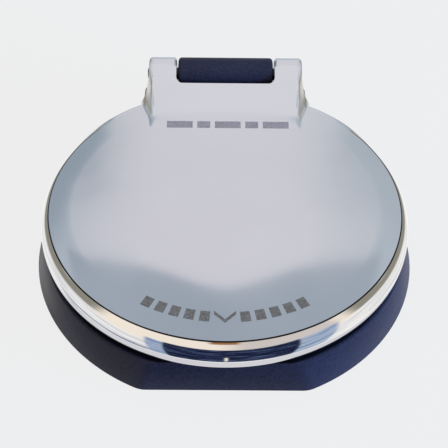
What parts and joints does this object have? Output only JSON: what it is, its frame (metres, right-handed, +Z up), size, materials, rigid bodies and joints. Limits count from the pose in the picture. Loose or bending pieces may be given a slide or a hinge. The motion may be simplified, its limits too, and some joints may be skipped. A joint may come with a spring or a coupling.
{
  "type": "deck foot switch",
  "caption": "Round deck-mounted foot switch: drafted plastic base, sealed push button and a polished metal cover hinged at the rear.",
  "frame": {"origin": "centre of the overall bounding box in plan, on the deck plane under the base", "axes": "+Z up from the deck, +Y towards the hinge at the rear, +X to the right seen from the front"},
  "size_m": [0.0848, 0.086, 0.0224],
  "materials": {
    "base_plastic": "satin moulded glass-filled nylon, near black with a blue cast",
    "cover_steel": "polished stainless steel",
    "boot_rubber": "matte black rubber",
    "gasket_rubber": "matte grey closed-cell rubber",
    "plunger_plastic": "natural acetal",
    "contact_brass": "satin",
    "bridge_copper": "satin copper alloy",
    "fastener_steel": "plain stainless",
    "pin_steel": "blackened stainless"
  },
  "bodies": {
    "base": {"base_housing": "base_plastic", "hinge_pin": "pin_steel", "deck_gasket": "gasket_rubber", "cover_buffer_left": "boot_rubber", "cover_buffer_right": "boot_rubber", "bottom_plate": "base_plastic", "plate_seal": "boot_rubber", "cable_grommet": "boot_rubber", "plate_screw_1": "fastener_steel", "plate_screw_2": "fastener_steel", "plate_screw_3": "fastener_steel", "plate_screw_4": "fastener_steel", "rubber_boot": "boot_rubber", "boot_clamp_ring": "fastener_steel", "clamp_ring_screw_1": "fastener_steel", "clamp_ring_screw_2": "fastener_steel", "clamp_ring_screw_3": "fastener_steel", "clamp_ring_screw_4": "fastener_steel", "return_spring": "fastener_steel", "fixed_contact_left": "contact_brass", "fixed_contact_right": "contact_brass", "terminal_washer_left": "fastener_steel", "terminal_washer_right": "fastener_steel", "terminal_screw_left": "contact_brass", "terminal_screw_right": "contact_brass"},
    "cover": {"cover": "cover_steel"},
    "button": {"plunger": "plunger_plastic", "contact_bridge": "bridge_copper", "bridge_clip": "fastener_steel"}
  },
  "joints": [
    {"name": "cover_hinge", "type": "hinge", "parent": "base", "child": "cover", "pos_m": [0, 0.0384, 0.0184], "axis": [-1, 0, 0], "range_deg": [0, 115]},
    {"name": "button_press", "type": "slide", "parent": "base", "child": "button", "axis": [0, 0, -1], "range_m": [0, 0.002], "stiffness_N_per_m": 1500, "springref_m": -0.003, "deforming": ["return_spring", "rubber_boot"]}
  ]
}
